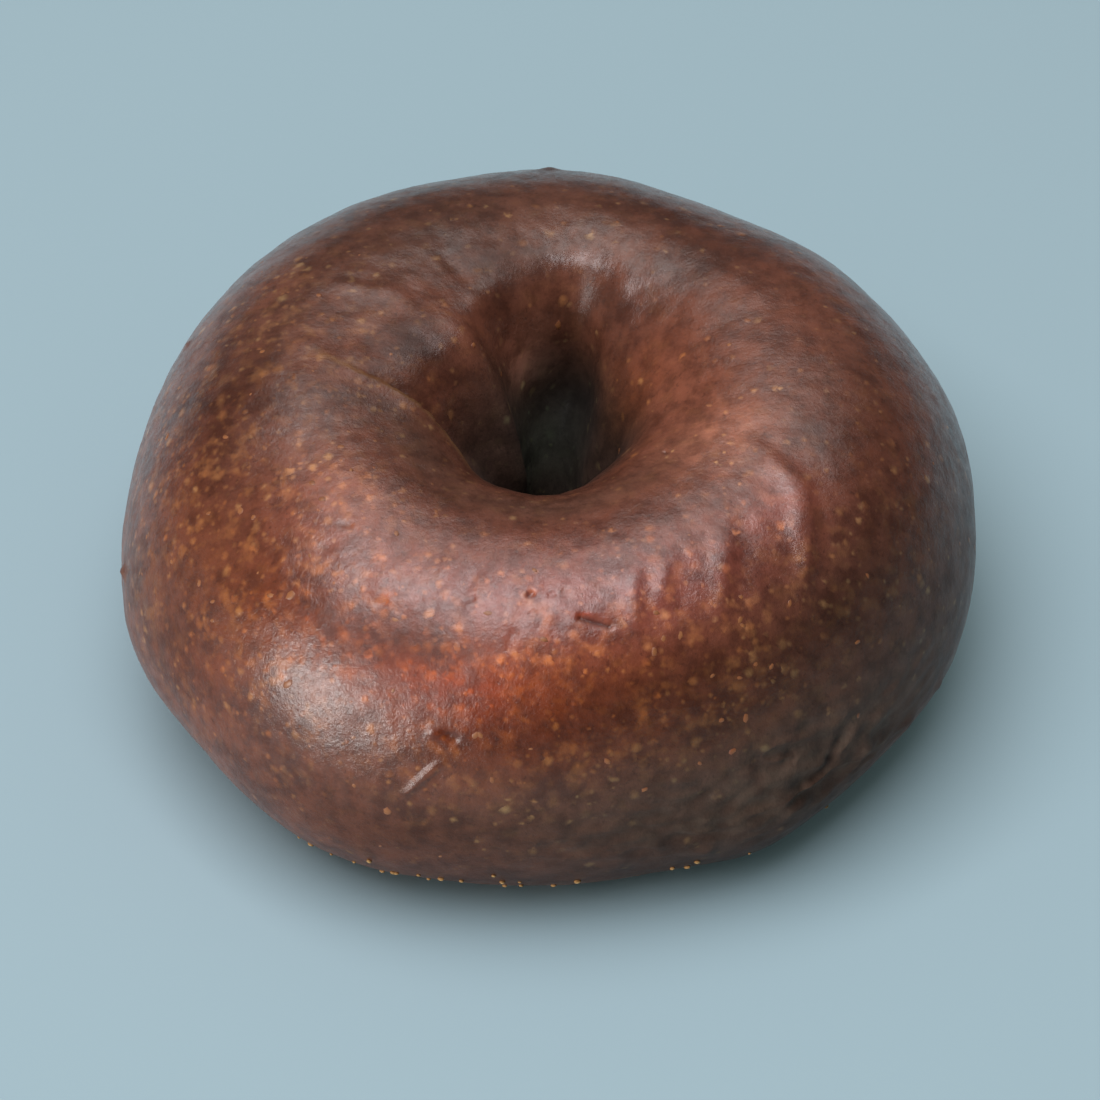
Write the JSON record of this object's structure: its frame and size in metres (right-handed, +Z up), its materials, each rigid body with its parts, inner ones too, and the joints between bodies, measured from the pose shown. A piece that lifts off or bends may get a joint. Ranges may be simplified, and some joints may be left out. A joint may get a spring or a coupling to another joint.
{
  "type": "bagel",
  "caption": "Whole dark rye bagel: a tall glossy ring of boiled and baked bread with a narrow hole, lying on its flat underside.",
  "frame": {"origin": "on the table, under the middle of the bagel's outline seen from above", "axes": "+Z up through the hole, -Y towards the side shown in front, +X to its right"},
  "size_m": [0.105, 0.1024, 0.0474],
  "materials": {
    "crust": "glossy dark brown crust with orange-brown grain flecks"
  },
  "bodies": {
    "root": {"bagel": "crust"}
  },
  "joints": []
}
